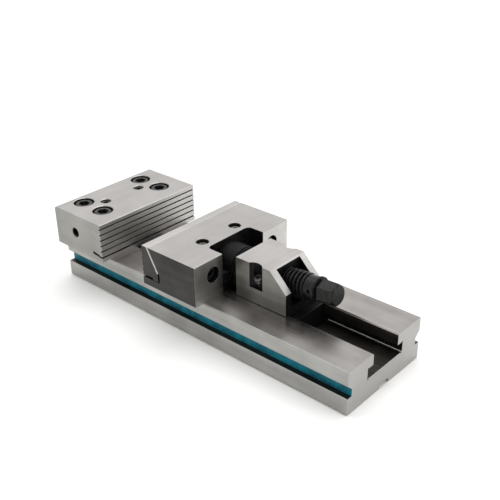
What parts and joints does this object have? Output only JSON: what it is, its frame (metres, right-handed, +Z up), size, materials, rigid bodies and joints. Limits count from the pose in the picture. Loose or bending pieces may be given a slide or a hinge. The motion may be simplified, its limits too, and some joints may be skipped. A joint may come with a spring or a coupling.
{
  "type": "machine vise",
  "caption": "Grooved steel base with a bolted fixed jaw, a pull-down movable jaw and a screw carriage that slides and clamps along the base's T-slot",
  "frame": {"origin": "middle of the base's underside", "axes": "+X along the base from the fixed jaw to the open end where the spindle's head is, +Z up, +Y across the base"},
  "size_m": [0.422, 0.15, 0.098],
  "materials": {
    "base_steel": "ground hardened steel",
    "jaw_steel": "ground hardened steel",
    "fixed_screw_black": "black oxide on steel",
    "cover_screw_black": "black oxide on steel",
    "dowel_steel": "bare turned steel",
    "key_steel": "bare turned steel",
    "movable_jaw_steel": "ground hardened steel",
    "plate_steel": "ground hardened steel",
    "plate_screw_black": "black oxide on steel",
    "washer_steel": "bare turned steel",
    "saddle_black": "black oxide on steel",
    "saddle_screw_steel": "bare turned steel",
    "block_black": "black oxide on steel",
    "block_screw_black": "black oxide on steel",
    "block_dowel_steel": "bare turned steel",
    "housing_steel": "ground hardened steel",
    "nut_black": "black oxide on steel",
    "pad_steel": "bare turned steel",
    "spindle_black": "black oxide on steel",
    "collar_black": "black oxide on steel",
    "pin_steel": "bare turned steel",
    "clamp_screw_left_black": "black oxide on steel",
    "clamp_screw_right_black": "black oxide on steel"
  },
  "bodies": {
    "base": {"base": "base_steel", "fixed_jaw": "jaw_steel", "fixed_jaw_screws": "fixed_screw_black", "fixed_jaw_cover_screws": "cover_screw_black", "fixed_jaw_dowels": "dowel_steel", "fixed_jaw_cross_key": "key_steel"},
    "carriage": {"carriage_housing": "housing_steel", "slide_nut": "nut_black"},
    "clamp_left": {"clamp_screw_left": "clamp_screw_left_black"},
    "clamp_right": {"clamp_screw_right": "clamp_screw_right_black"},
    "jaw": {"movable_jaw": "movable_jaw_steel", "front_plate_washers": "washer_steel", "jaw_saddle": "saddle_black", "saddle_screws": "saddle_screw_steel", "thrust_block": "block_black", "thrust_block_screws": "block_screw_black", "thrust_block_dowels": "block_dowel_steel"},
    "plate": {"front_plate": "plate_steel", "front_plate_screws": "plate_screw_black"},
    "nose": {"thrust_pad": "pad_steel"},
    "spindle": {"spindle": "spindle_black", "stop_collar": "collar_black", "collar_pin": "pin_steel"}
  },
  "joints": [
    {"name": "carriage_slide", "type": "slide", "parent": "base", "child": "carriage", "axis": [-1, 0, 0], "range_m": [-0.088, 0.062]},
    {"name": "jaw_clamp", "type": "slide", "parent": "carriage", "child": "jaw", "axis": [-1, 0, 0], "range_m": [-0.004, 0.008]},
    {"name": "plate_pull_down", "type": "slide", "parent": "jaw", "child": "plate", "axis": [0.4848, 0, -0.8746], "range_m": [0, 0.0004], "stiffness_N_per_m": 60000, "springref_m": -0.0005},
    {"name": "nose_slide", "type": "slide", "parent": "carriage", "child": "nose", "axis": [-0.9945, 0, -0.1045], "range_m": [-0.00403, 0.00806]},
    {"name": "spindle_turn", "type": "hinge", "parent": "nose", "child": "spindle", "pos_m": [0.1065, 0, 0.0769], "axis": [-0.9945, 0, -0.1045], "range_deg": [-292, 583]},
    {"name": "clamp_left_turn", "type": "hinge", "parent": "carriage", "child": "clamp_left", "pos_m": [0.066, -0.0236, 0.08164], "axis": [0, 0.309, -0.9511], "range_deg": [-180, 0]},
    {"name": "clamp_right_turn", "type": "hinge", "parent": "carriage", "child": "clamp_right", "pos_m": [0.066, 0.0236, 0.08164], "axis": [0, -0.309, -0.9511], "range_deg": [-180, 0]}
  ],
  "couplings": [
    {"joint": "nose_slide", "follows": "jaw_clamp", "ratio": 1.0055},
    {"joint": "spindle_turn", "follows": "jaw_clamp", "rad_per_m": 1263.6}
  ]
}
